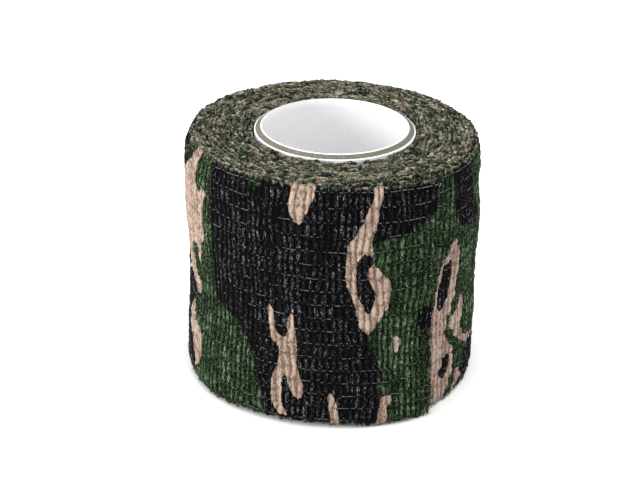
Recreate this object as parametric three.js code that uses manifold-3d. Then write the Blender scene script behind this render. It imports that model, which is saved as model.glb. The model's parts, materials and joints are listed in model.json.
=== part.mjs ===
// A roll of self-clinging crinkled wrap, 50 mm wide, on a spiral-wound paper core.
// Units are millimetres, +Z is up, and the roll stands on its end with the origin at the centre of its foot.
//
// The core is four helically wound plies: a white liner inside, two grey board plies, and a white liner outside.
// The wrap is one strip of web, wound fourteen times round the core, with its cut end stuck down at the front right.
// Eighteen elastic threads run along the outer face of the web. They pull it into its crinkle.
// The last stretch before the cut end is three flaps on upright hinge lines, which peel away from the roll.

import * as THREE from 'three';
import { mergeVertices } from 'three/addons/utils/BufferGeometryUtils.js';
import Module from 'manifold-3d';

// Driving dimensions.
const CORE_LENGTH = 50.9;
const BORE_RADIUS = 14.4;
const LINER_THICKNESS = 0.2;
const BOARD_THICKNESS = 0.45;
const PLY_GAP = 0.04;
const TAPE_WIDTH = 50;
const TAPE_FOOT = 0.55; // height of the strip's lower edge, where it is wound true
const ROLL_RADIUS = 29.7; // over the threads, at the cut end
const TURNS = 14;
const TURN_GAP = 0.1; // clearance between one turn and the next
const THREAD_COUNT = 18;
const THREAD_PITCH = 2.81;
const THREAD_SIZE = 0.25;
const THREAD_GAP = 0.05;

// Helical seams of the core plies.
const SEAM_GAP = 0.35;
const SEAM_TURNS = 0.46; // how far a seam winds round the core from foot to top
const SEAM_STEPS = 20;

// Facets and angles of the winding. The facets are counted back from the cut end.
const FACETS = 40;
const FACET_ANGLE = (2 * Math.PI) / FACETS;
const LAST_FACET = TURNS * FACETS;
const CUT_END_ANGLE = THREE.MathUtils.degToRad(-50);

// The last turn is wound askew: it dips at the front right and rises at the back left.
const SKEW_RISE = 0.25;
const SKEW_TURNS = 1.25; // the skew grows over this many turns before the cut end
const SKEW_LOW_ANGLE = THREE.MathUtils.degToRad(-55);

// The free end.
const FLAP_COUNT = 3;
const FLAP_FACETS = 2;
const HINGE_GAP = 0.3;

// Sizes that follow.
const CORE_RADIUS = BORE_RADIUS + 2 * LINER_THICKNESS + 2 * BOARD_THICKNESS + 3 * PLY_GAP;
const WIND_START = CORE_RADIUS + TURN_GAP;
const WEB_RADIUS = ROLL_RADIUS - THREAD_SIZE - THREAD_GAP; // outer face of the web at the cut end
const TURN_PITCH = (WEB_RADIUS + TURN_GAP - WIND_START) / (TURNS + 1);
const WEB_THICKNESS = TURN_PITCH - TURN_GAP;
const FACET_LENGTH = FACET_ANGLE * WEB_RADIUS;
const ROOT_FACET = LAST_FACET - FLAP_COUNT * FLAP_FACETS;
const HALF_GAP_FACETS = HINGE_GAP / 2 / FACET_LENGTH;
const THREAD_MARGIN = (TAPE_WIDTH - (THREAD_COUNT - 1) * THREAD_PITCH) / 2;

const wasm = await Module();
wasm.setup();

const materials = {
  liner: new THREE.MeshStandardMaterial({ color: 0xeceaec, roughness: 0.55, metalness: 0 }),
  board: new THREE.MeshStandardMaterial({ color: 0x8c8672, roughness: 0.9, metalness: 0 }),
  web: new THREE.MeshStandardMaterial({ color: 0x3c5a35, roughness: 0.95, metalness: 0 }),
  thread: new THREE.MeshStandardMaterial({ color: 0xa9a8a2, roughness: 0.6, metalness: 0 }),
};

// Solids and booleans.

function toSolid(geometry) {
  const bare = geometry.clone();
  bare.deleteAttribute('normal');
  bare.deleteAttribute('uv');
  const merged = mergeVertices(bare, 1e-4);
  return new wasm.Manifold(new wasm.Mesh({
    numProp: 3,
    vertProperties: merged.attributes.position.array,
    triVerts: new Uint32Array(merged.index.array),
  }));
}

function toGeometry(solid) {
  const mesh = solid.getMesh();
  const geometry = new THREE.BufferGeometry();
  geometry.setAttribute('position', new THREE.BufferAttribute(mesh.vertProperties, 3));
  geometry.setIndex(new THREE.BufferAttribute(mesh.triVerts, 1));
  return geometry;
}

function extrude(shape, height, foot = 0) {
  const geometry = new THREE.ExtrudeGeometry(shape, { depth: height, bevelEnabled: false });
  return geometry.translate(0, 0, foot);
}

function namedMesh(name, geometry, material) {
  geometry.computeVertexNormals();
  const mesh = new THREE.Mesh(geometry, material);
  mesh.name = name;
  return mesh;
}

// The core.

function circlePoints(radius) {
  return Array.from({ length: FACETS }, (_, i) => {
    const angle = CUT_END_ANGLE + i * FACET_ANGLE;
    return new THREE.Vector2(radius * Math.cos(angle), radius * Math.sin(angle));
  });
}

// A thin upright fin, twisted round the core's axis, that parts the two edges of a helically wound ply.
function seamFin(radius, thickness, footAngle) {
  const overrun = 1;
  const height = CORE_LENGTH + 2 * overrun;
  const fin = new THREE.BoxGeometry(thickness + 2 * overrun, SEAM_GAP, height, 1, 1, SEAM_STEPS);
  fin.translate(radius + thickness / 2, 0, height / 2 - overrun);
  const position = fin.attributes.position;
  const point = new THREE.Vector3();
  const up = new THREE.Vector3(0, 0, 1);
  for (let i = 0; i < position.count; i++) {
    point.fromBufferAttribute(position, i);
    point.applyAxisAngle(up, footAngle + (point.z / CORE_LENGTH) * SEAM_TURNS * 2 * Math.PI);
    position.setXYZ(i, point.x, point.y, point.z);
  }
  return fin;
}

function corePly(name, radius, thickness, footAngleDeg, material) {
  const ring = new THREE.Shape(circlePoints(radius + thickness));
  ring.holes.push(new THREE.Path(circlePoints(radius)));
  const tube = toSolid(extrude(ring, CORE_LENGTH));
  const fin = toSolid(seamFin(radius, thickness, THREE.MathUtils.degToRad(footAngleDeg)));
  return namedMesh(name, toGeometry(tube.subtract(fin)), material);
}

function makeCore() {
  const core = new THREE.Group();
  const plies = [
    ['core_inner_liner', LINER_THICKNESS, -57, materials.liner],
    ['core_board_ply_inner', BOARD_THICKNESS, 114, materials.board],
    ['core_board_ply_outer', BOARD_THICKNESS, -156, materials.board],
    ['core_outer_liner', LINER_THICKNESS, 34, materials.liner],
  ];
  let radius = BORE_RADIUS;
  for (const [name, thickness, footAngleDeg, material] of plies) {
    core.add(corePly(name, radius, thickness, footAngleDeg, material));
    radius += thickness + PLY_GAP;
  }
  return core;
}

// The wrap.

function windingPoint(facet, offset) {
  const radius = WIND_START + (TURN_PITCH * facet) / FACETS + offset;
  const angle = CUT_END_ANGLE - (LAST_FACET - facet) * FACET_ANGLE;
  return new THREE.Vector2(radius * Math.cos(angle), radius * Math.sin(angle));
}

// The spiral's corners between two places on it, the two ends included.
function facetsBetween(from, to) {
  const facets = [from];
  for (let facet = Math.floor(from) + 1; facet < to; facet++) facets.push(facet);
  facets.push(to);
  return facets;
}

// A stretch of the spiral seen from above, between two offsets from the web's inner face.
function windingShape(from, to, innerOffset, outerOffset) {
  const facets = facetsBetween(from, to);
  const outer = facets.map((facet) => windingPoint(facet, outerOffset));
  const inner = facets.map((facet) => windingPoint(facet, innerOffset)).reverse();
  return new THREE.Shape([...outer, ...inner]);
}

function skewHeight(x, y) {
  const inside = ROLL_RADIUS - Math.hypot(x, y);
  const share = THREE.MathUtils.smoothstep(-inside, -SKEW_TURNS * TURN_PITCH, 0);
  return -SKEW_RISE * share * Math.cos(Math.atan2(y, x) - SKEW_LOW_ANGLE);
}

function skewed(geometry) {
  const position = geometry.attributes.position;
  for (let i = 0; i < position.count; i++) {
    position.setZ(i, position.getZ(i) + skewHeight(position.getX(i), position.getY(i)));
  }
  return geometry;
}

function threadFoot(index) {
  return TAPE_FOOT + THREAD_MARGIN + index * THREAD_PITCH - THREAD_SIZE / 2;
}

function makeWinding() {
  const shape = windingShape(0, ROOT_FACET - HALF_GAP_FACETS, 0, WEB_THICKNESS);
  return namedMesh('tape_web', skewed(extrude(shape, TAPE_WIDTH, TAPE_FOOT)), materials.web);
}

// A thread shows on the last turn only, from just past the cut end round to the first hinge line.
function makeThread(index) {
  const from = LAST_FACET - FACETS + 2 * HALF_GAP_FACETS;
  const to = ROOT_FACET - HALF_GAP_FACETS;
  const inner = WEB_THICKNESS + THREAD_GAP;
  const shape = windingShape(from, to, inner, inner + THREAD_SIZE);
  const name = `elastic_thread_${String(index + 1).padStart(2, '0')}`;
  return namedMesh(name, skewed(extrude(shape, THREAD_SIZE, threadFoot(index))), materials.thread);
}

// A flap is a short stretch of the web with its stretch of each thread bonded on as a rib.
function makeFlap(index) {
  const from = ROOT_FACET + index * FLAP_FACETS + HALF_GAP_FACETS;
  const isLast = index === FLAP_COUNT - 1;
  const to = ROOT_FACET + (index + 1) * FLAP_FACETS - (isLast ? 0 : HALF_GAP_FACETS);
  const outer = WEB_THICKNESS + THREAD_GAP + THREAD_SIZE;
  const ribShape = windingShape(from, to, WEB_THICKNESS / 2, outer);
  let flap = toSolid(extrude(windingShape(from, to, 0, WEB_THICKNESS), TAPE_WIDTH, TAPE_FOOT));
  for (let i = 0; i < THREAD_COUNT; i++) {
    flap = flap.add(toSolid(extrude(ribShape, THREAD_SIZE, threadFoot(i))));
  }
  return namedMesh(`tape_flap_${index + 1}`, skewed(toGeometry(flap)), materials.web);
}

const roll = new THREE.Group();
roll.add(makeCore());
roll.add(makeWinding());
for (let i = 0; i < THREAD_COUNT; i++) roll.add(makeThread(i));
for (let i = 0; i < FLAP_COUNT; i++) roll.add(makeFlap(i));

export default roll;
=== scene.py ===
"""Looks for a roll of self-clinging crinkled wrap, wound on a spiral paper core.

The wrap is one strip of non-woven web, printed in a woodland pattern and gathered by elastic threads.
Lengths are millimetres until they are written into a mesh. The stage, lights and camera are in metres.
Angles round the roll are 0 at its right side and -90 degrees at its front.
"""

import json
import math

import bmesh
import bpy
import numpy as np
from mathutils import Matrix, Vector

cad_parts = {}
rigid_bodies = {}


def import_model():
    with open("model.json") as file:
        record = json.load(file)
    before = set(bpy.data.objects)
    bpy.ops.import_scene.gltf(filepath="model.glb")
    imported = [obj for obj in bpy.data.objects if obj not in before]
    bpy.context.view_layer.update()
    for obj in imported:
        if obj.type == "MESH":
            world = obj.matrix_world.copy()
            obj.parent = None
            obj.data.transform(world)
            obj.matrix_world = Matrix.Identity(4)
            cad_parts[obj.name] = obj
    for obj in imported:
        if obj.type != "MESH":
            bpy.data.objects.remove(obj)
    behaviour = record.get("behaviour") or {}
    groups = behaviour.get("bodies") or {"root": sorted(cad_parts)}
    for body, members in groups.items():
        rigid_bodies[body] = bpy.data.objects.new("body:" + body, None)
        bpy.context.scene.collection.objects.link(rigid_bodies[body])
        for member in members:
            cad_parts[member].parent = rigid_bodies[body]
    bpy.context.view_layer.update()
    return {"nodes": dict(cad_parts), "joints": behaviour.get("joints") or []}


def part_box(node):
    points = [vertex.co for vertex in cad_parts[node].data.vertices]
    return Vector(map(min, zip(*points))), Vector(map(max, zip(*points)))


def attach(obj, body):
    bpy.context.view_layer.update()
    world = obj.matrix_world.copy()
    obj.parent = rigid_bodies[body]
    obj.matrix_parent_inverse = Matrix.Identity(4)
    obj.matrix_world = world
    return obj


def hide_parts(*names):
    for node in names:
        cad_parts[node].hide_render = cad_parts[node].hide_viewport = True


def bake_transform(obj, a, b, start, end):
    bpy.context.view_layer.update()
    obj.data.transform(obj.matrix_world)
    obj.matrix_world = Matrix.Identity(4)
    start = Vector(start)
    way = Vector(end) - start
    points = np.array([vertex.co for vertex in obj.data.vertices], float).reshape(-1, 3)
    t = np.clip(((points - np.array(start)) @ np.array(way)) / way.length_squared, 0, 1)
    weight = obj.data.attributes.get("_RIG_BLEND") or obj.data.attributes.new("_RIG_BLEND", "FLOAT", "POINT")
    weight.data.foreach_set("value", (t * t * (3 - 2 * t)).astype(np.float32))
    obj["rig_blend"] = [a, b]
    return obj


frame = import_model()

MM = 0.001

# Sizes of the roll.
TURNS = 14
WIND_START = 15.92  # inner face of the first turn
TURN_PITCH = 0.9053
MID_WEB = 0.4  # from a turn's inner face to the line along which the strip's length is counted
CUT_ANGLE = math.radians(-50)
FULL_TURN = 181.27  # of the print, round the outside of the roll
CUT_PLACE = 20.13  # where the cut end lies along the print, counted from the middle of the front

TAPE_WIDTH = 50.0
TAPE_FOOT = 0.55
THREAD_COUNT = sum(name.startswith("elastic_thread") for name in frame["nodes"])
THREAD_PITCH = 2.81
THREAD_MARGIN = (TAPE_WIDTH - (THREAD_COUNT - 1) * THREAD_PITCH) / 2

SKEW_RISE = 0.25
SKEW_TURNS = 1.25
SKEW_LOW_ANGLE = math.radians(-55)

# The crinkle.
RIDGE_PITCH = 1.25
RIDGE_FOOT = 0.30  # from a turn's inner face to the bottom of a groove, on the web's outer face
RIDGE_DEPTH = 0.62
RIDGE_BLUNTNESS = 0.6  # less than 1 gives broad crests and narrow grooves
FINE_RIDGES = 2.3  # fine ridges to each ridge
FINE_SHARE = 0.22  # share of a ridge's height that is lost between fine ridges
PULL_DEPTH = 0.32  # share of a ridge's height that a thread holds down
PULL_REACH = 0.36  # how far to each side of a thread its pull is felt
WEB_THICKNESS = 0.24

# How far the soft turns lie out or in of a true winding.
BELLY = 0.75
FOOT_SWELL = 0.25
RIGHT_SWELL = 0.85
EVENED = 0.4  # share of the belly and the foot's swelling that the right side lacks
DRAWN_IN = 0.35
SHOULDER = 1.0  # how far the upper right falls back
END_LIFT = 0.4  # how far the cut end stands off the turn beneath it
RIM_ROUNDING = 0.55
CORNER_SWELL = 0.55  # at the foot, to the right of the front
SIDE_SWELL = 0.7  # at the foot, to the left of the front

# How far the turns' upper edges sink or rise, and the outermost turns' lower edge.
INNER_SINK = 0.30
BACK_SINK = 0.45
BACK_SINK_OUTERMOST = 0.5
FRONT_RISE = 0.15
FRONT_RISE_OUTER = 0.55
FOOT_RISE = 0.55
FOOT_DIP = 0.15

# The strip's frayed edges and its cut end.
FRAYED_BAND = 1.2
RIM_BAND = 1.4
RAGGED_TURNS = 0.004
RAGGED_ANGLE = 0.012
LOWEST = 0.08  # the web's outer face and the fibres come no nearer to the floor than this


# Noise.

def lattice(i, j, seed):
    """A repeatable number from 0 to 1 for each pair of whole numbers."""
    n = (i * 374761393 + j * 668265263 + seed * 974634777) & 0xFFFFFFFF
    n = ((n ^ (n >> 13)) * 1274126177) & 0xFFFFFFFF
    n = ((n ^ (n >> 15)) * 2246822519) & 0xFFFFFFFF
    return ((n ^ (n >> 16)) & 0xFFFF) / 0xFFFF


def noise(x, y, seed):
    """Smooth noise from -1 to 1, whose bumps are one unit apart."""
    i, j = np.floor(x).astype(np.int64), np.floor(y).astype(np.int64)
    fx, fy = x - i, y - j
    fx, fy = fx * fx * (3 - 2 * fx), fy * fy * (3 - 2 * fy)
    low = lattice(i, j, seed) * (1 - fx) + lattice(i + 1, j, seed) * fx
    high = lattice(i, j + 1, seed) * (1 - fx) + lattice(i + 1, j + 1, seed) * fx
    return 2 * (low * (1 - fy) + high * fy) - 1


def bumps(along, height, size, long, tall, seed):
    """Smooth bumps of a size on the strip, so long and so tall."""
    return size * noise(along / long, height / tall, seed)


def line_bumps(along, line, size, long, seed):
    """The same along one line, where lines with other numbers have bumps of their own."""
    return size * noise(along / long, line, seed)


def smoothstep(start, end, x):
    """0 at start and 1 at end, smooth between them and level beyond them."""
    t = np.clip((x - start) / (end - start), 0, 1)
    return t * t * (3 - 2 * t)


# The winding. A place on the strip is its height and its turn, from 0 at the core to TURNS at the cut end.

def strip_length(turn):
    """Length of relaxed strip from the core out to that turn."""
    return 2 * math.pi * (WIND_START + MID_WEB) * turn + math.pi * TURN_PITCH * turn**2


def turn_radius(turn):
    return WIND_START + TURN_PITCH * turn


def turn_angle(turn):
    return CUT_ANGLE - (TURNS - turn) * 2 * math.pi


def print_place(turn):
    """Where that turn lies along the print, in millimetres round the outside of the roll."""
    return CUT_PLACE + (turn - TURNS) * FULL_TURN


def from_edge(height):
    """Distance to the nearer edge of the strip."""
    return np.minimum(height, TAPE_WIDTH - height)


def skew(turn):
    """The last turns are wound askew: they dip at the front right and rise at the back left."""
    share = smoothstep(TURNS - SKEW_TURNS, TURNS, turn)
    return -SKEW_RISE * share * np.cos(turn_angle(turn) - SKEW_LOW_ANGLE)


def crinkle(along, height):
    """How far the web stands out, from 0 in a groove to 1 on a crest."""
    row = np.floor((height - THREAD_MARGIN) / THREAD_PITCH)
    sway = bumps(along, height, size=0.50, long=5.0, tall=9.0, seed=1)
    sway += bumps(along, height, size=0.26, long=2.1, tall=3.1, seed=2)
    sway += line_bumps(along, row * 7.3, size=0.12, long=3.0, seed=3)
    ridge = np.abs(np.sin(np.pi * (along / RIDGE_PITCH + sway))) ** RIDGE_BLUNTNESS
    fine_sway = bumps(along, height, size=1.6, long=1.0, tall=1.7, seed=7)
    fine = np.abs(np.sin(FINE_RIDGES * np.pi * (along / RIDGE_PITCH + sway) + fine_sway))
    ridge *= 1 - FINE_SHARE + FINE_SHARE * fine
    strength = 0.80 + bumps(along, height, size=0.30, long=1.4, tall=3.2, seed=4)
    from_mid_row = np.abs((height - THREAD_MARGIN) / THREAD_PITCH - row - 0.5)
    from_thread = (0.5 - from_mid_row) * THREAD_PITCH
    pulled = 1 - PULL_DEPTH * np.exp(-((from_thread / PULL_REACH) ** 2))
    crumple = bumps(along, height, size=0.11, long=0.55, tall=0.9, seed=5)
    crumple += bumps(along, height, size=0.08, long=0.3, tall=0.45, seed=6)
    return ridge * strength * pulled + crumple


def facing(turn, degrees):
    """1 where that turn faces an angle round the roll, and 0 opposite."""
    return 0.5 + 0.5 * np.cos(turn_angle(turn) - math.radians(degrees))


def near_angle(turn, degrees, spread):
    """1 where that turn passes an angle round the roll, falling to 0 on both sides of it."""
    away = (turn_angle(turn) - math.radians(degrees) + math.pi) % (2 * math.pi) - math.pi
    return np.exp(-((away / math.radians(spread)) ** 2))


def outermost(turn):
    """1 on the outermost turn, falling to 0 over the turns beneath it."""
    return smoothstep(TURNS - 1.6, TURNS - 0.2, turn)


def bulge(turn, height):
    """How far the soft outer turns stand proud of a true winding."""
    softness = smoothstep(TURNS - 3.2, TURNS - 0.6, turn)
    at_right = facing(turn, -5)
    belly = BELLY * smoothstep(24, 38, height) * smoothstep(TAPE_WIDTH + 1, 45, height)
    foot = FOOT_SWELL * smoothstep(22, 8, height)
    shoulder = SHOULDER * smoothstep(32, 41, height) * near_angle(turn, 12, spread=42)
    proud = (belly + foot) * (1 - EVENED * at_right) + RIGHT_SWELL * at_right - DRAWN_IN - shoulder
    return softness * proud + END_LIFT * smoothstep(TURNS - 0.16, TURNS - 0.02, turn)


def sink(turn):
    """How far that turn's upper edge sinks: most at the back right, and least at the front."""
    at_back = (BACK_SINK + BACK_SINK_OUTERMOST * outermost(turn)) * facing(turn, 50)
    rise = FRONT_RISE + FRONT_RISE_OUTER * smoothstep(4, TURNS - 2, turn)
    at_front = rise * near_angle(turn, -90, spread=48)
    return INNER_SINK * smoothstep(TURNS - 3.5, 1.5, turn) + at_back - at_front


def slump(turn, height):
    """How far out and up a place on the strip lies from where it is wound true."""
    rim = RIM_ROUNDING * outermost(turn) * smoothstep(RIM_BAND, 0, from_edge(height))
    low = smoothstep(20, 0, height) * outermost(turn)
    corner = near_angle(turn, -50, spread=25)
    out = bulge(turn, height) - rim
    out += low * (CORNER_SWELL * corner + SIDE_SWELL * near_angle(turn, -150, spread=25))
    up = skew(turn) - smoothstep(35, TAPE_WIDTH, height) * sink(turn)
    up += low * (FOOT_RISE * near_angle(turn, -97, spread=22) - FOOT_DIP * corner)
    return out, up


def around_roll(radius, angle, z):
    """Points in metres, from their radius, angle and height."""
    return np.stack([radius * np.cos(angle), radius * np.sin(angle), z], axis=1) * MM


def web_place(turn, height, depth=RIDGE_DEPTH):
    """Points on the web's outer face, in metres, and how far out each stands."""
    along = strip_length(turn)
    stand = crinkle(along, height)
    out, up = slump(turn, height)
    frayed = np.clip(1 - from_edge(height) / FRAYED_BAND, 0, 1)
    radius = turn_radius(turn) + RIDGE_FOOT + depth * stand + out
    radius += bumps(along, height, size=0.10, long=7.0, tall=11.0, seed=11)
    radius += frayed * bumps(along, height, size=0.30, long=0.9, tall=0.7, seed=12)
    side = np.where(height > TAPE_WIDTH / 2, 1.0, -1.0)
    fray = line_bumps(along, side * 5.5, size=0.24, long=0.7, seed=13)
    fray += line_bumps(along, side * 9.5, size=0.16, long=2.6, seed=14)
    z = np.maximum(TAPE_FOOT + height + up + frayed * side * fray, LOWEST)
    at_cut = smoothstep(TURNS - RAGGED_TURNS, TURNS, turn)
    ragged = at_cut * line_bumps(height, height * 0 + 3.5, size=RAGGED_ANGLE, long=0.7, seed=15)
    return around_roll(radius, turn_angle(turn) + ragged, z), np.clip(stand, 0, 1)


# The print: outlines in millimetres, along the strip from mid-front and up from its lower edge.

BLACK_FIELD = [
    (-26, 53), (-25.8, 46), (-26.1, 40), (-25.6, 34), (-26, 28), (-25.4, 21.6), (-22, 20.6),
    (-19.5, 19.4), (-17, 17), (-15.8, 14.5), (-14.6, 11), (-14, 7), (-13.2, 3.5), (-12.2, -3), (9, -3),
    (9.4, 6), (9.5, 12), (8.6, 15), (7.2, 17.5), (6.6, 20.5), (8.5, 23.5), (9.6, 27), (9.6, 30),
    (8.2, 33), (7.1, 35), (7.1, 40), (12.5, 40), (15.8, 40.6), (17, 41.8), (18.4, 43.2), (19.6, 44),
    (20.2, 46), (20.4, 53),
]
BLACK_BLOT = [
    (16.2, 21.3), (17, 22.5), (17.8, 24), (20, 24.4), (22.5, 23), (22.6, 19), (20.5, 18), (18.8, 17.8),
    (17.6, 19.3),
]
BLACK_LEFT = [
    (-36, 22.5), (-34.3, 20), (-35, 17.8), (-36.6, 16.4), (-38.2, 14), (-37.8, 10.4), (-35.6, 8),
    (-34.6, 5.8), (-33.8, 3.4), (-35, 2), (-38, 3), (-43, 4), (-47, 8), (-48, 20), (-42, 24.5),
    (-38.5, 23.6),
]
BLACK_TOP_LEFT = [
    (-37.2, 46.5), (-36.6, 45), (-40, 43.2), (-44, 39.5), (-52, 37), (-55, 45), (-52, 53), (-40, 53),
    (-38.4, 49),
]
BLACK_SHOULDER = [
    (25.5, 53), (26.1, 46), (26.5, 42), (27, 39.5), (28.3, 38), (30, 36.6), (32.5, 36), (36, 35),
    (39, 34.6), (38, 38), (35.5, 41), (34, 45), (32, 48), (31, 53),
]
BLACK_FOOT = [
    (32.5, 6.5), (35, 8.5), (38, 9.2), (42, 7), (46, 5), (48, -3), (34, -3), (33, 1), (31.8, 4),
]
BLACK_NOTCH = [(20.8, 6), (22.1, 4.6), (21.9, 1.5), (21.8, -3), (18, -3), (18.5, 4)]
GREEN_WEDGE = [(-17, 53), (-12.9, 53), (-13.5, 49.5), (-14.6, 47.2), (-15.6, 47.6), (-16.4, 49.5)]
TAN_DROP = [
    (-8, 53), (-8, 47), (-7.8, 44.3), (-6.6, 42.6), (-5.4, 43.2), (-4.3, 45.5), (-3.4, 48), (-3, 53),
]
TAN_FORK = [
    (-12.3, 25), (-11.4, 25), (-11, 22.5), (-10.6, 20), (-9.6, 18.6), (-8.4, 18.5), (-8.2, 21),
    (-7.6, 24.2), (-7, 24.6), (-6.6, 22), (-6.6, 17), (-6.2, 13), (-5.4, 9.5), (-4.7, 6.2), (-5.6, 5.2),
    (-7, 6.2), (-7.8, 8.6), (-8.5, 10.8), (-9.2, 8), (-9.3, 4.5), (-8.8, 2.4), (-8, 0.9), (-9.2, 0.9),
    (-10.5, 2.5), (-11.2, 5.5), (-11.2, 9.3), (-10.3, 11.8), (-9.5, 14), (-9.6, 16.6), (-10.8, 17.2),
    (-11.8, 18.8), (-12.3, 21.5),
]
TAN_RING = [
    (7.6, 53), (7.4, 49.5), (6.3, 46), (5.6, 43.8), (4.2, 42), (2.9, 39.3), (2.3, 37.5), (2.4, 35),
    (2.8, 31.5), (3.7, 28.2), (4.7, 24.8), (5.3, 22), (6.4, 20.7), (7.6, 20.4), (9, 22.4), (10.4, 25),
    (11, 27.2), (11.3, 29.2), (10.7, 31), (9.4, 32.6), (8.2, 34.2), (7.3, 35.4), (7.2, 37), (7.3, 40),
    (7.4, 42), (7.8, 44.5), (8.2, 47), (9.2, 50), (9.4, 53),
]
RING_HOLE = [
    (4.3, 35.8), (5, 37), (6.2, 37.4), (7.4, 37.3), (7.4, 35.4), (6.4, 34.2), (6.8, 32), (7.9, 29.5),
    (8.1, 26.5), (7.3, 24.4), (6.4, 25), (5.4, 27.5), (4.6, 30), (4.2, 33),
]
TAN_FOOT_LEFT = [(0, 7), (0.9, 7), (1.3, 4.5), (2.3, 1.5), (2.4, -3), (0.9, -3), (0.6, 1.5), (0, 4)]
TAN_FOOT_RIGHT = [
    (10.1, 6.4), (11.9, 6.7), (11.8, 4.6), (10.9, 4), (10.9, 2), (11, -3), (9, -3), (9, 3), (9.7, 5),
]
TAN_SPOT = [(11.8, 19), (12.8, 19.3), (13.3, 17.8), (12.9, 16), (12.3, 15.8), (11.9, 17.2)]
TAN_ARCH = [
    (26.2, 34.5), (27.6, 34.9), (28.2, 33.5), (28.6, 31.3), (29.1, 28.5), (28.8, 25.5), (28, 22),
    (26.6, 18.7), (25.4, 16.3), (25.4, 14), (26.8, 12.3), (28.2, 10.8), (28.5, 7), (27.6, 4.5),
    (26.3, 2.3), (25.7, -3), (21.8, -3), (21.9, 2), (22.2, 4.6), (20.9, 6.2), (20.3, 9), (19.6, 13.5),
    (20.4, 17), (20.9, 19.5), (22.1, 22), (22.3, 25), (22.6, 28), (23.6, 30.6), (25, 32.3),
]
ARCH_HOLE = [
    (25.2, 30.8), (26.6, 30.2), (27.1, 28), (26.3, 25), (25.3, 22), (24.2, 20.6), (22.9, 20.8),
    (22.6, 24), (23.2, 27), (24, 29.5),
]
ARCH_SPOT = [(25.7, 9.8), (27.6, 10), (27.6, 7.5), (26.2, 5.5), (25.2, 4.2), (24, 6), (24.6, 8)]
TAN_TWIG = [
    (30.9, 21), (32.2, 21), (32.8, 18), (32.2, 16.3), (31, 16), (31.2, 14.2), (33.5, 11.4), (36, 9.8),
    (39, 9.6), (38.6, 8.6), (35, 8.8), (32, 10.3), (29.6, 12.6), (28, 14.7), (26.3, 16), (27, 17.2),
    (29.3, 18.4), (30.4, 19.2),
]
TAN_HOOK = [
    (29.8, 5.2), (31.8, 5), (32.4, 3), (31.8, 1.5), (30, 0.8), (28.5, -3), (27.2, -3), (28.6, 1.6),
    (29.9, 2.8),
]
TAN_LEAF = [
    (-33, 53), (-30.3, 53), (-31, 48.5), (-32, 45), (-31.6, 42.8), (-30.8, 41.9), (-29.4, 42.6),
    (-27.6, 43.4), (-27.6, 42.2), (-28.8, 40.6), (-29, 38), (-28.4, 35), (-28.9, 32.8), (-30.2, 31),
    (-30.6, 28), (-30.9, 26.4), (-31.8, 26.6), (-32, 29), (-33.2, 30.8), (-35.2, 30), (-36, 28),
    (-35.2, 25.5), (-33.2, 23), (-31.6, 22.6), (-31.6, 19.6), (-33, 19), (-35, 19.8), (-36.6, 21.6),
    (-39, 23.5), (-42, 26), (-44, 30), (-44.5, 38), (-41, 43), (-36, 46), (-34, 49),
]
TAN_PEBBLE = [
    (-35.6, 17), (-34.4, 16.2), (-34.6, 14.3), (-32.8, 13.2), (-31, 11.8), (-30.4, 9.4), (-30.6, 6.5),
    (-30.8, 4.4), (-32.2, 3.2), (-33.6, 3.6), (-34.4, 6), (-35.4, 8.6), (-37.6, 10.6), (-38, 13),
    (-36.8, 15.4),
]

FRONT = {
    "black": [BLACK_FIELD, BLACK_BLOT, BLACK_LEFT, BLACK_TOP_LEFT],
    "tan": [TAN_DROP, TAN_FORK, TAN_RING, TAN_FOOT_LEFT, TAN_FOOT_RIGHT, TAN_SPOT, TAN_LEAF, TAN_PEBBLE],
    "black_on_tan": [RING_HOLE],
    "green": [GREEN_WEDGE],
}
RIGHT = {
    "black": [BLACK_SHOULDER, BLACK_FOOT, BLACK_NOTCH],
    "tan": [TAN_ARCH, TAN_TWIG, TAN_HOOK],
    "black_on_tan": [ARCH_HOLE, ARCH_SPOT],
    "green": [],
}
UNDER_FLAPS = {"black": [BLACK_LEFT], "tan": [TAN_LEAF, TAN_PEBBLE], "black_on_tan": [], "green": []}


def placed(group, shift, mirrored=False, upended=False):
    """A group of outlines moved along the strip, and turned over."""
    across, up = (-1 if mirrored else 1), (-1 if upended else 1)
    rise = TAPE_WIDTH if upended else 0
    return {
        kind: [[(across * a + shift, up * h + rise) for a, h in outline] for outline in outlines]
        for kind, outlines in group.items()
    }


PRINT = [
    placed(FRONT, 0),
    placed(RIGHT, -FULL_TURN),
    placed(UNDER_FLAPS, 25 - FULL_TURN),
    placed(FRONT, -90, mirrored=True, upended=True),
    placed(RIGHT, -93, mirrored=True, upended=True),
]
FAR_OUTSIDE = -4.0  # the depth given to every point that is further from an outline than this


def rounded(outline):
    """The outline with its corners cut twice."""
    points = np.array(outline, float)
    for _ in range(2):
        following = np.roll(points, -1, axis=0)
        points = np.stack([0.75 * points + 0.25 * following, 0.25 * points + 0.75 * following], axis=1)
        points = points.reshape(-1, 2)
    return points


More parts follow.
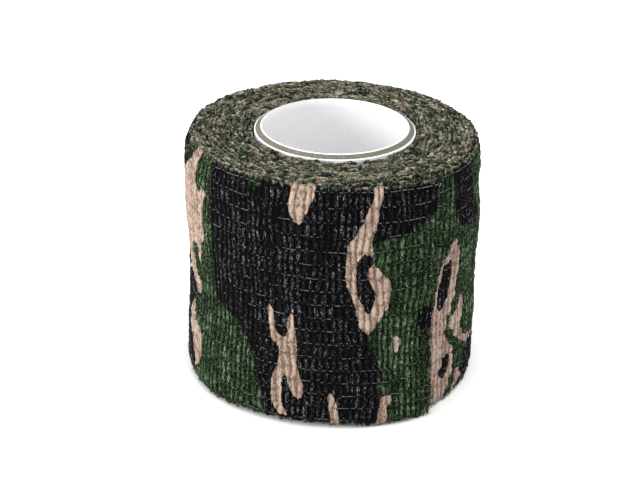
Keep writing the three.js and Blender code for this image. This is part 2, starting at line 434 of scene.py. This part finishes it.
def depth_inside(outline, x, y):
    """How deep each point lies inside an outline, in millimetres, and negative outside it."""
    corners = rounded(outline)
    depth = np.full(len(x), FAR_OUTSIDE)
    low, high = corners.min(axis=0) + FAR_OUTSIDE, corners.max(axis=0) - FAR_OUTSIDE
    near = np.flatnonzero((x > low[0]) & (x < high[0]) & (y > low[1]) & (y < high[1]))
    px, py = x[near], y[near]
    nearest, inside = np.full(len(near), -FAR_OUTSIDE), np.zeros(len(near), bool)
    for (ax, ay), (bx, by) in zip(corners, np.roll(corners, -1, axis=0)):
        dx, dy = bx - ax, by - ay
        t = np.clip(((px - ax) * dx + (py - ay) * dy) / (dx * dx + dy * dy), 0, 1)
        nearest = np.minimum(nearest, np.hypot(px - ax - t * dx, py - ay - t * dy))
        if dy != 0:
            inside ^= ((ay > py) != (by > py)) & (px < ax + (py - ay) * dx / dy)
    depth[near] = np.where(inside, nearest, -nearest)
    return depth


def printed_depths(turn, height):
    """How deep each point lies in the print's black and in its tan, whose outlines waver a little."""
    along = print_place(turn)
    x = along + bumps(along, height, size=0.32, long=1.3, tall=2.2, seed=21)
    y = height + bumps(x, height, size=0.45, long=1.1, tall=1.6, seed=22)
    deepest = {kind: np.full(len(x), FAR_OUTSIDE) for kind in FRONT}
    for group in PRINT:
        for kind, outlines in group.items():
            for outline in outlines:
                deepest[kind] = np.maximum(deepest[kind], depth_inside(outline, x, y))
    tan = np.minimum(deepest["tan"], -np.maximum(deepest["black_on_tan"], deepest["green"]))
    black = np.minimum(deepest["black"], -deepest["green"])
    return np.maximum(black, deepest["black_on_tan"]), tan


def mottled_depths(turn, height):
    """The same for the inner turns, of which only the edges are seen."""
    along = strip_length(turn)
    black = bumps(along, height, size=2.0, long=6.0, tall=9.0, seed=23)
    black += bumps(along, height, size=1.4, long=1.6, tall=5.0, seed=24)
    tan = bumps(along, height, size=2.2, long=5.0, tall=8.0, seed=25)
    tan += bumps(along, height, size=1.5, long=1.5, tall=5.0, seed=26) - 1.3
    return black, tan


# Materials.

def new_material(name):
    material = bpy.data.materials.new(name)
    material.use_nodes = True
    return material


def attribute(material, name):
    node = material.node_tree.nodes.new("ShaderNodeAttribute")
    node.attribute_name = name
    return node


def feed(material, socket, value):
    """Gives a node's socket another socket's value, a colour or a number."""
    if isinstance(value, bpy.types.NodeSocket):
        material.node_tree.links.new(value, socket)
    else:
        socket.default_value = (*value, 1) if isinstance(value, tuple) else value


def math_node(material, operation, first, second):
    """A Math node on two sockets or numbers."""
    node = material.node_tree.nodes.new("ShaderNodeMath")
    node.operation = operation
    feed(material, node.inputs[0], first)
    feed(material, node.inputs[1], second)
    return node.outputs[0]


def plus(material, first, second):
    return math_node(material, "ADD", first, second)


def minus(material, first, second):
    return math_node(material, "SUBTRACT", first, second)


def times(material, first, second):
    return math_node(material, "MULTIPLY", first, second)


def greater(material, first, second):
    return math_node(material, "MAXIMUM", first, second)


def swing(material, value, gain):
    """How far a texture's value is from its middle, enlarged."""
    return times(material, minus(material, value, 0.5), gain)


def ramp(material, factor, stops):
    """A colour ramp of (place, (red, green, blue)) stops."""
    node = material.node_tree.nodes.new("ShaderNodeValToRGB")
    elements = node.color_ramp.elements
    while len(elements) < len(stops):
        elements.new(1.0)
    for element, (place, colour) in zip(elements, stops):
        element.position = place
        element.color = (*colour, 1)
    material.node_tree.links.new(factor, node.inputs["Fac"])
    return node.outputs["Color"]


def mixed(material, factor, first, second):
    """A colour mix of two sockets."""
    node = material.node_tree.nodes.new("ShaderNodeMix")
    node.data_type = "RGBA"
    for socket, value in ((node.inputs[0], factor), (node.inputs[6], first), (node.inputs[7], second)):
        feed(material, socket, value)
    return node.outputs[2]


def texture(material, place, scale, stretch=(1, 1, 1), detail=3.0, roughness=0.6, turn=0.0):
    """A noise texture on that place, stretched along an axis."""
    nodes, links = material.node_tree.nodes, material.node_tree.links
    mapping = nodes.new("ShaderNodeMapping")
    mapping.inputs["Scale"].default_value = stretch
    mapping.inputs["Rotation"].default_value = (0, 0, turn)
    links.new(place, mapping.inputs["Vector"])
    node = nodes.new("ShaderNodeTexNoise")
    node.inputs["Scale"].default_value = scale
    node.inputs["Detail"].default_value = detail
    node.inputs["Roughness"].default_value = roughness
    links.new(mapping.outputs["Vector"], node.inputs["Vector"])
    return node.outputs["Fac"]


def stepped(material, value, low, high):
    """0 below low, 1 above high, and smooth between."""
    node = material.node_tree.nodes.new("ShaderNodeMapRange")
    node.interpolation_type = "SMOOTHSTEP"
    node.inputs["From Min"].default_value = low
    node.inputs["From Max"].default_value = high
    material.node_tree.links.new(value, node.inputs["Value"])
    return node.outputs["Result"]


def fibre_lines(material, place, scale, stretch, turn, width):
    """Thin wandering lines: 1 along each line and 0 between them."""
    wander = texture(material, place, scale, stretch, detail=1.5, roughness=0.55, turn=turn)
    off_line = math_node(material, "ABSOLUTE", minus(material, wander, 0.5), 0.0)
    return minus(material, 1.0, stepped(material, off_line, 0.0, width))


def bump(material, height, strength, distance):
    node = material.node_tree.nodes.new("ShaderNodeBump")
    node.inputs["Strength"].default_value = strength
    node.inputs["Distance"].default_value = distance
    material.node_tree.links.new(height, node.inputs["Height"])
    return node.outputs["Normal"]


def surface(material, colour, roughness, gloss=None, normal=None):
    """Gives the shader its colour and roughness, and where they are named its gloss and its bump."""
    shader = material.node_tree.nodes["Principled BSDF"]
    feed(material, shader.inputs["Base Color"], colour)
    shader.inputs["Roughness"].default_value = roughness
    if gloss is not None:
        shader.inputs["Specular IOR Level"].default_value = gloss
    if normal is not None:
        feed(material, shader.inputs["Normal"], normal)
    return material


def web_tone_and_painted_shade(material, place, matted):
    """How pale the web is: painted shade in the grooves and a painted highlight on the crests, both from the
    crest height, and pale along single fibres.
    """
    crest = attribute(material, "crest").outputs["Fac"]
    lines = fibre_lines(material, place, 2.3, stretch=(1.0, 0.36, 1), turn=0.12, width=0.026)
    more_lines = fibre_lines(material, place, 2.0, stretch=(1.0, 0.6, 1), turn=-0.75, width=0.020)
    fibres = greater(material, lines, more_lines)
    tone_and_painted_shade = swing(material, matted, 2.4)
    # Painted shade and highlight: the crest height darkens the grooves and lightens the crests.
    tone_and_painted_shade = plus(material, tone_and_painted_shade, times(material, crest, 0.80))
    tone_and_painted_shade = plus(material, tone_and_painted_shade, times(material, fibres, 0.52))
    return minus(material, tone_and_painted_shade, 0.24)


def printed_colour(material, tone_and_painted_shade, matted):
    """The web's outer face: green, with the black and then the tan printed over it, all three with painted
    shade in the grooves.
    """
    # The ramps' dark ends are painted shade in the grooves, their middles partly a painted highlight on the
    # crests, and their pale ends the fibres.
    green = ramp(material, tone_and_painted_shade, [
        (0.18, (0.0015, 0.004, 0.0015)), (0.40, (0.018, 0.036, 0.014)), (0.60, (0.052, 0.094, 0.040)),
        (0.80, (0.120, 0.180, 0.100)), (1.0, (0.360, 0.420, 0.310)),
    ])
    black = ramp(material, tone_and_painted_shade, [
        (0.34, (0.0008, 0.0008, 0.0010)), (0.58, (0.0055, 0.005, 0.006)), (0.78, (0.036, 0.035, 0.040)),
        (1.0, (0.340, 0.340, 0.365)),
    ])
    tan = ramp(material, tone_and_painted_shade, [
        (0.05, (0.150, 0.094, 0.068)), (0.26, (0.360, 0.255, 0.196)), (0.52, (0.490, 0.381, 0.310)),
        (0.90, (0.530, 0.436, 0.366)),
    ])
    rough_line = swing(material, matted, 1.3)
    colour = green
    for layer, ink in (("black_depth", black), ("tan_depth", tan)):
        depth = plus(material, attribute(material, layer).outputs["Fac"], rough_line)
        colour = mixed(material, stepped(material, depth, -0.08, 0.08), colour, ink)
    return colour


def bare_colour(material, place):
    """The web where it isn't printed: chopped fibres, olive and in patches beige, with black between."""
    chopped = texture(material, place, 1.7, (1.0, 0.8, 1.6), detail=4.0, roughness=0.85, turn=0.4)
    patches = texture(material, place, 0.5, (0.6, 1.0, 1.0), detail=3.0, roughness=0.7)
    clusters = texture(material, place, 0.8, (0.7, 1.0, 1.2), detail=2.0, roughness=0.5, turn=1.1)
    chopped = plus(material, chopped, times(material, clusters, 0.45))
    chopped = minus(material, chopped, 0.215)
    olive = ramp(material, chopped, [
        (0.42, (0.002, 0.002, 0.002)), (0.48, (0.020, 0.024, 0.016)), (0.53, (0.085, 0.108, 0.060)),
        (0.58, (0.210, 0.215, 0.140)), (0.65, (0.620, 0.600, 0.500)),
    ])
    beige = ramp(material, chopped, [
        (0.41, (0.004, 0.003, 0.003)), (0.48, (0.060, 0.046, 0.036)), (0.54, (0.300, 0.225, 0.165)),
        (0.62, (0.680, 0.580, 0.480)),
    ])
    return mixed(material, stepped(material, patches, 0.53, 0.64), olive, beige)


def web_material():
    """Non-woven web, printed on its outer face, and bare inside and along its edges."""
    material = new_material("printed crinkled web")
    place = attribute(material, "strip").outputs["Vector"]
    edge = attribute(material, "edge").outputs["Fac"]
    inside = attribute(material, "inside").outputs["Fac"]

    upright = texture(material, place, 4.4, (1.0, 0.30, 1), detail=3.0, roughness=0.7)
    slanting = texture(material, place, 4.6, (1.0, 0.32, 1), detail=3.0, roughness=0.65, turn=0.9)
    matted = times(material, plus(material, upright, slanting), 0.5)
    tone_and_painted_shade = web_tone_and_painted_shade(material, place, matted)

    at_edge = minus(material, 1.0, stepped(material, edge, 0.05, 0.7))
    patchy = stepped(material, upright, 0.30, 0.52)
    bared = times(material, times(material, at_edge, patchy), 0.70)
    bared = greater(material, bared, times(material, inside, 0.6))
    colour = mixed(material, bared, printed_colour(material, tone_and_painted_shade, matted), bare_colour(material, place))
    ridged = bump(material, tone_and_painted_shade, strength=0.8, distance=0.00012)
    return surface(material, colour, roughness=0.85, gloss=0.06, normal=ridged)


def thread_material():
    """Elastic thread: grey and slightly glossy, with a fine twist."""
    material = new_material("elastic thread")
    place = attribute(material, "strip").outputs["Vector"]
    twist = texture(material, place, 2.5, (1, 0.5, 1), detail=2.0)
    colour = ramp(material, twist, [(0.40, (0.012, 0.013, 0.012)), (0.66, (0.190, 0.195, 0.185))])
    twisted = bump(material, twist, strength=0.5, distance=0.00005)
    return surface(material, colour, roughness=0.55, normal=twisted)


def paper_material(name, dark, pale, scale, grain, roughness):
    """Paper or board, with its fibres as a faint mottle."""
    material = new_material(name)
    place = material.node_tree.nodes.new("ShaderNodeTexCoord").outputs["Object"]
    fibres = texture(material, place, scale, (1, 1, 0.35), detail=5.0, roughness=0.65)
    colour = ramp(material, fibres, [(0.3, dark), (0.7, pale)])
    return surface(material, colour, roughness, normal=bump(material, fibres, grain, distance=0.00005))


def fibre_material():
    """Loose fibres of the web, from black through olive to pale beige."""
    material = new_material("loose fibre")
    tint = attribute(material, "tint").outputs["Fac"]
    colour = ramp(material, tint, [
        (0.0, (0.002, 0.002, 0.002)), (0.38, (0.012, 0.014, 0.010)), (0.60, (0.065, 0.090, 0.045)),
        (0.80, (0.300, 0.240, 0.180)), (1.0, (0.700, 0.660, 0.580)),
    ])
    return surface(material, colour, roughness=0.7, gloss=0.2)


WEB = web_material()
FIBRE = fibre_material()
THREAD = thread_material()
LINER = paper_material(
    "white liner paper", dark=(0.84, 0.835, 0.85), pale=(0.88, 0.875, 0.89),
    scale=1400, grain=0.10, roughness=0.5,
)
BOARD = paper_material(
    "grey board", dark=(0.070, 0.064, 0.048), pale=(0.215, 0.200, 0.155),
    scale=2600, grain=0.9, roughness=0.9,
)


# Meshes.

def grid_mesh(columns, rows):
    """A flat grid, and each vertex's column and row."""
    bm = bmesh.new()
    bmesh.ops.create_grid(bm, x_segments=columns, y_segments=rows, size=0.5)
    column = np.array([round((v.co.x + 0.5) * columns) for v in bm.verts])
    row = np.array([round((v.co.y + 0.5) * rows) for v in bm.verts])
    return bm, column, row


def move_to(bm, points):
    for vertex, point in zip(bm.verts, points):
        vertex.co = point


def write_layers(bm, layers):
    """Writes named values onto the vertices, as attributes."""
    for name, values in layers.items():
        if values.ndim == 2:
            layer = bm.verts.layers.float_vector.new(name)
        else:
            layer = bm.verts.layers.float.new(name)
        for vertex, value in zip(bm.verts, values.tolist()):
            vertex[layer] = value


def finished(bm, name, material):
    """A smooth-shaded piece of one material, made from a bmesh that isn't needed again."""
    mesh = bpy.data.meshes.new(name)
    bm.to_mesh(mesh)
    bm.free()
    mesh.shade_smooth()
    mesh.materials.append(material)
    piece = bpy.data.objects.new(name, mesh)
    bpy.context.scene.collection.objects.link(piece)
    return piece


def strip_layers(turn, height, stand, depths):
    """What the web's material reads at each vertex."""
    along = strip_length(turn)
    black, tan = depths(turn, height)
    place = np.stack([along, height, np.zeros_like(along)], axis=1)
    return {
        "strip": place, "crest": stand, "edge": from_edge(height), "black_depth": black, "tan_depth": tan,
    }


def web_stretch(
    name, start, end, column_size, heights, depths, thickness=WEB_THICKNESS, depth=RIDGE_DEPTH,
):
    """A stretch of the crinkled strip between two turns."""
    length = strip_length(end) - strip_length(start)
    columns = round(length / column_size)
    bm, column, row = grid_mesh(columns, len(heights) - 1)
    turn = start + (end - start) * column / columns
    height = np.array(heights)[row]
    points, stand = web_place(turn, height, depth)
    write_layers(bm, strip_layers(turn, height, stand, depths))
    move_to(bm, points)
    bm.normal_update()
    outer_count = len(bm.verts)
    bmesh.ops.solidify(bm, geom=bm.faces[:], thickness=thickness * MM)
    bmesh.ops.recalc_face_normals(bm, faces=bm.faces[:])
    inside = bm.verts.layers.float.new("inside")
    strip = bm.verts.layers.float_vector["strip"]
    bm.verts.ensure_lookup_table()
    for vertex in bm.verts[outer_count:]:
        vertex[inside] = 1.0
        vertex[strip].z = thickness
    piece = finished(bm, name, WEB)
    return piece


# The core.

SEAM_TURNS = 0.46  # how far a ply's seam winds round the core from foot to top
CORNER = 0.05
BORE_RADIUS = 14.4
CUT_HIGH = 0.28  # the core's top is cut on a slope: high at the bore and falling outwards
CUT_SLOPE = 0.56
PLY_ROWS = 30
PLY_STEPS = 240
SHARP_ANGLE = math.radians(35)


def node_heights(name):
    """A frame node's lowest and highest points, in millimetres."""
    low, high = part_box(name)
    return (low / MM).z, (high / MM).z


def node_radii(name):
    """A frame node's smallest and largest radius about the roll's axis, in millimetres."""
    radii = [math.hypot(v.co.x, v.co.y) / MM for v in frame["nodes"][name].data.vertices]
    return min(radii), max(radii)


def core_ply(node, foot_angle, seam_gap, material):
    """A wound ply: an upright section swept round the core, then twisted so that its seam climbs."""
    inner, outer = node_radii(node)
    foot, top = node_heights(node)
    bm = bmesh.new()
    section = ((inner, foot), (outer, foot), (outer, top), (inner, top))
    bm.faces.new([bm.verts.new((x, 0, z)) for x, z in section])
    bmesh.ops.bevel(
        bm, geom=bm.verts[:], offset=CORNER, affect="VERTICES", segments=2, profile=0.5, material=-1,
    )
    walls = [edge for edge in bm.edges if edge.calc_length() > (top - foot) / 2]
    bmesh.ops.subdivide_edges(bm, edges=walls, cuts=PLY_ROWS, use_grid_fill=True)
    bmesh.ops.spin(
        bm, geom=bm.verts[:] + bm.edges[:] + bm.faces[:], cent=(0, 0, 0), axis=(0, 0, 1),
        angle=2 * math.pi - seam_gap / inner, steps=PLY_STEPS, use_merge=False,
    )
    bmesh.ops.recalc_face_normals(bm, faces=bm.faces[:])
    for vertex in bm.verts:
        share = (vertex.co.z - foot) / (top - foot)
        vertex.co.z += share * (CUT_HIGH - CUT_SLOPE * (vertex.co.xy.length - BORE_RADIUS))
        angle = math.radians(foot_angle) + share * SEAM_TURNS * 2 * math.pi
        vertex.co = Matrix.Rotation(angle, 3, "Z") @ vertex.co * MM
    piece = finished(bm, node + "_wound", material)
    piece.data.set_sharp_from_angle(angle=SHARP_ANGLE)
    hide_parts(node)
    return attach(piece, "roll")


core_ply("core_inner_liner", foot_angle=-60, seam_gap=0.004, material=LINER)
core_ply("core_board_ply_inner", foot_angle=114, seam_gap=0.3, material=BOARD)
core_ply("core_board_ply_outer", foot_angle=-156, seam_gap=0.3, material=BOARD)
core_ply("core_outer_liner", foot_angle=34, seam_gap=0.07, material=LINER)


# The wrap.

FLAP_TURNS = 18 / 360
ROOT_TURN = TURNS - 3 * FLAP_TURNS  # the hinge line at which the strip peels off the roll
PARTING = ROOT_TURN - 0.02  # where the peeling end is parted from the winding, just before that line
FIRST_SEEN = TURNS - 1 - 62 / 360  # the roll's outside starts here, a little way beneath the peeling end
HALFWAY = 7.24  # the turn at the middle of the hidden winding's length
OUTER_PIECES = 5

# The size of a mesh column along the strip, and the heights of its rows.
SEEN_COLUMN = 0.2
SEEN_ROWS = [TAPE_WIDTH * i / 150 for i in range(151)]
HIDDEN_COLUMN = 0.26
HIDDEN_ROWS = [0, 0.35, 0.8, 1.6, 4, 12, 25, 38, 46, 48.4, 49.2, 49.65, 50]
HIDDEN_THICKNESS = 0.62  # the inner turns are thicker, so that their edges touch
HIDDEN_DEPTH = 0.36

THREAD_RADIUS = 0.08
THREAD_STAND = 0.13  # of a thread's middle over the bottom of a groove
THREAD_SIDES = 6
THREAD_COLUMN = 0.45
THREAD_GRAIN = 0.2  # height on its texture of one side of a thread


def thread_place(index, turn, around):
    """Points on a thread's surface, in metres."""
    height = THREAD_MARGIN + index * THREAD_PITCH
    along = strip_length(turn)
    out, up = slump(turn, height + turn * 0)
    lift = line_bumps(along, turn * 0 + index * 3.1, size=0.14, long=1.5, seed=31)
    sway = line_bumps(along, turn * 0 + index * 5.7, size=0.10, long=1.3, seed=32)
    sway += line_bumps(along, turn * 0 + index * 2.3, size=0.14, long=9.0, seed=33)
    radius = turn_radius(turn) + RIDGE_FOOT + THREAD_STAND + out + lift + THREAD_RADIUS * np.cos(around)
    z = TAPE_FOOT + height + up + sway + THREAD_RADIUS * np.sin(around)
    return around_roll(radius, turn_angle(turn), z)


def add_thread(bm, index, start, end):
    """A stretch of elastic thread as a closed tube."""
    columns = round((strip_length(end) - strip_length(start)) / THREAD_COLUMN)
    tube, column, row = grid_mesh(columns, THREAD_SIDES)
    turn = start + (end - start) * column / columns
    place = np.stack([strip_length(turn), row * THREAD_GRAIN, turn * 0 + index], axis=1)
    write_layers(tube, {"strip": place})
    move_to(tube, thread_place(index, turn, 2 * math.pi * row / THREAD_SIDES))
    bmesh.ops.remove_doubles(tube, verts=tube.verts[:], dist=1e-7)
    bmesh.ops.holes_fill(tube, edges=tube.edges[:], sides=THREAD_SIDES)
    bmesh.ops.recalc_face_normals(tube, faces=tube.faces[:])
    part = bpy.data.meshes.new("thread")
    tube.to_mesh(part)
    tube.free()
    bm.from_mesh(part)
    bpy.data.meshes.remove(part)


def threads(name, indices, start, end):
    """Stretches of some of the threads, as one piece."""
    bm = bmesh.new()
    for index in indices:
        add_thread(bm, index, start, end)
    return finished(bm, name, THREAD)


def wind_inner_turns():
    """The turns that are hidden but for their edges."""
    for name, start, end in (("winding_inner", 0, HALFWAY), ("winding_middle", HALFWAY, FIRST_SEEN)):
        piece = web_stretch(
            name, start, end, HIDDEN_COLUMN, HIDDEN_ROWS, mottled_depths, HIDDEN_THICKNESS, HIDDEN_DEPTH,
        )
        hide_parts("tape_web")
        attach(piece, "roll")


def wind_outer_turn():
    """The last turn, from beneath the peeling end round to where it peels."""
    cuts = np.linspace(FIRST_SEEN, PARTING, OUTER_PIECES + 1)
    for number, (start, end) in enumerate(zip(cuts[:-1], cuts[1:]), 1):
        piece = web_stretch(f"winding_outer_{number}", start, end, SEEN_COLUMN, SEEN_ROWS, printed_depths)
        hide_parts("tape_web")
        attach(piece, "roll")
    for index in range(THREAD_COUNT):
        node = f"elastic_thread_{index + 1:02d}"
        piece = threads(node + "_bonded", [index], FIRST_SEEN, PARTING)
        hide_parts(node)
        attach(piece, "roll")


# How far before and after its hinge line each stretch of the peeling end bends.
BENDS = [(0.3, 4.2), (3.0, 3.0), (3.0, 3.0)]


def hang_peeling_end():
    """The peeling end, which bends at three lines as it leaves the roll."""
    cuts = [PARTING, ROOT_TURN + FLAP_TURNS / 2, ROOT_TURN + 3 * FLAP_TURNS / 2, TURNS]
    stretches = zip(frame["joints"], cuts[:-1], cuts[1:], BENDS)
    for number, (joint, start, end, (before, after)) in enumerate(stretches, 1):
        web = web_stretch(f"peeling_web_{number}", start, end, SEEN_COLUMN, SEEN_ROWS, printed_depths)
        bonded = threads(f"peeling_threads_{number}", range(THREAD_COUNT), start, end)
        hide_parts(f"tape_flap_{number}")
        hinge = Vector(joint["pos_m"])
        forward = Vector((-hinge.y, hinge.x, 0)).normalized()
        for piece in (web, bonded):
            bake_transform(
                piece, joint["parent"], joint["child"],
                start=hinge - forward * before * MM, end=hinge + forward * after * MM,
            )


# Stray fibres, which stand out of the web.

FIBRE_SIDES = 3
FIBRE_BENDS = 4
FIBRE_RADIUS = 0.035  # of a fibre that is one unit long
FIBRE_CURLS = (0.5, 1.0, 1.7)


def fibre_shape(curl):
    """One short fibre: a thin rod spun through an arc, one unit long, from the origin along +X."""
    bm = bmesh.new()
    upright = Matrix.Rotation(math.pi / 2, 4, "Y")
    bmesh.ops.create_circle(bm, cap_ends=True, segments=FIBRE_SIDES, radius=FIBRE_RADIUS, matrix=upright)
    bmesh.ops.spin(
        bm, geom=bm.verts[:] + bm.edges[:] + bm.faces[:], cent=(0, 1 / curl, 0), axis=(0, 0, 1),
        angle=curl, steps=FIBRE_BENDS, use_merge=False,
    )
    bmesh.ops.recalc_face_normals(bm, faces=bm.faces[:])
    bm.verts.layers.float.new("tint")
    return bm


def fibre_piece(name, count, seed, choose, body):
    """Many fibres as one piece. choose(random) gives a fibre's turn, height, tilt and length."""
    random = np.random.default_rng(seed)
    shapes = [fibre_shape(curl) for curl in FIBRE_CURLS]
    whole = bmesh.new()
    whole.verts.layers.float.new("tint")
    spare = bpy.data.meshes.new("fibre")
    for _ in range(count):
        turn, height, tilt, length = choose(random)
        root, _ = web_place(np.array([turn]), np.array([height]))
        fibre = shapes[random.integers(len(shapes))].copy()
        place = (
            Matrix.Translation(Vector(root[0]))
            @ Matrix.Rotation(turn_angle(turn) + math.pi / 2, 4, "Z")
            @ Matrix.Rotation(random.uniform(0, 2 * math.pi), 4, "Y")
            @ Matrix.Rotation(random.choice((-1, 1)) * tilt, 4, "Z")
            @ Matrix.Rotation(random.uniform(0, 2 * math.pi), 4, "X")
            @ Matrix.Scale(length * MM, 4)
        )
        bmesh.ops.transform(fibre, matrix=place, verts=fibre.verts[:])
        tint = fibre.verts.layers.float["tint"]
        shade = random.random()
        for vertex in fibre.verts:
            vertex[tint] = shade
        fibre.to_mesh(spare)
        fibre.free()
        whole.from_mesh(spare)
    bpy.data.meshes.remove(spare)
    for shape in shapes:
        shape.free()
    for vertex in whole.verts:
        vertex.co.z = max(vertex.co.z, LOWEST * MM)
    piece = finished(whole, name, FIBRE)
    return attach(piece, body)


def on_top(random):
    turn = random.uniform(0, PARTING)
    return turn, random.uniform(49.6, TAPE_WIDTH), random.uniform(0.1, 0.7), random.uniform(0.35, 1.15)


def on_foot(random):
    turn = random.uniform(0, PARTING)
    return turn, random.uniform(0, 0.4), random.uniform(0.1, 0.7), random.uniform(0.3, 0.9)


def on_side(random):
    turn = random.uniform(FIRST_SEEN + 0.1, PARTING)
    return turn, random.uniform(0, TAPE_WIDTH), random.uniform(0.1, 0.5), random.uniform(0.4, 1.0)


def on_cut_end(random):
    turn = TURNS - random.uniform(0, RAGGED_TURNS)
    height = random.choice((random.uniform(0, TAPE_WIDTH), random.uniform(0, 4)))
    return turn, height, 0.2, random.uniform(0.5, 1.5)


wind_inner_turns()
wind_outer_turn()
hang_peeling_end()
fibre_piece("stray_fibres_top", 3000, seed=51, choose=on_top, body="roll")
fibre_piece("stray_fibres_foot", 900, seed=52, choose=on_foot, body="roll")
fibre_piece("stray_fibres_side", 1100, seed=53, choose=on_side, body="roll")
fibre_piece("stray_fibres_cut_end", 160, seed=54, choose=on_cut_end, body="flap_end")


# Stage, light and camera.

FLOOR_SIZE = 3
ROOM_LIGHT = 0.93
CAMERA_DISTANCE = 0.335
CAMERA_ELEVATION = math.radians(25.97)
CAMERA_ROLL = math.radians(1.358)
AIM_HEIGHT = 0.02597
LENS = 93.2
LENS_SHIFT = (-0.0192, 0.0014)


def stage_floor():
    """A plain pale floor."""
    bm = bmesh.new()
    bmesh.ops.create_grid(bm, x_segments=1, y_segments=1, size=FLOOR_SIZE)
    mesh = bpy.data.meshes.new("floor")
    bm.to_mesh(mesh)
    bm.free()
    pale = surface(new_material("pale floor"), (0.95, 0.95, 0.95), roughness=0.9)
    mesh.materials.append(pale)
    floor = bpy.data.objects.new("floor", mesh)
    bpy.context.scene.collection.objects.link(floor)


def softbox(name, place, target, size, power):
    """A round area light at a place, aimed at a target."""
    light = bpy.data.lights.new(name, "AREA")
    light.shape = "DISK"
    light.size = size
    light.energy = power
    lamp = bpy.data.objects.new(name, light)
    lamp.location = place
    lamp.rotation_euler = (Vector(target) - Vector(place)).to_track_quat("-Z", "Y").to_euler()
    bpy.context.scene.collection.objects.link(lamp)


def light_studio():
    """An even white room, with a soft light overhead and another low on the left."""
    world = bpy.data.worlds.new("studio")
    world.use_nodes = True
    world.node_tree.nodes["Background"].inputs["Color"].default_value = (1, 1, 1, 1)
    world.node_tree.nodes["Background"].inputs["Strength"].default_value = ROOM_LIGHT
    bpy.context.scene.world = world
    softbox("overhead", place=(0.05, -0.08, 0.75), target=(0, 0, 0), size=0.6, power=4.2)
    softbox("key", place=(-0.70, -0.30, 0.19), target=(0, 0, 0.03), size=0.4, power=4.8)
    bpy.context.scene.view_settings.view_transform = "Standard"


def set_camera():
    """A camera in front of the roll and above it, turned a little about its own line of sight."""
    data = bpy.data.cameras.new("camera")
    data.sensor_width = 36
    data.lens = LENS
    data.shift_x, data.shift_y = LENS_SHIFT
    data.clip_start = 0.01
    camera = bpy.data.objects.new("camera", data)
    back = Vector((0, -math.cos(CAMERA_ELEVATION), math.sin(CAMERA_ELEVATION)))
    camera.location = Vector((0, 0, AIM_HEIGHT)) + back * CAMERA_DISTANCE
    turn = (-back).to_track_quat("-Z", "Y").to_matrix() @ Matrix.Rotation(CAMERA_ROLL, 3, "Z")
    camera.rotation_euler = turn.to_euler()
    bpy.context.scene.collection.objects.link(camera)
    bpy.context.scene.camera = camera


stage_floor()
light_studio()
set_camera()
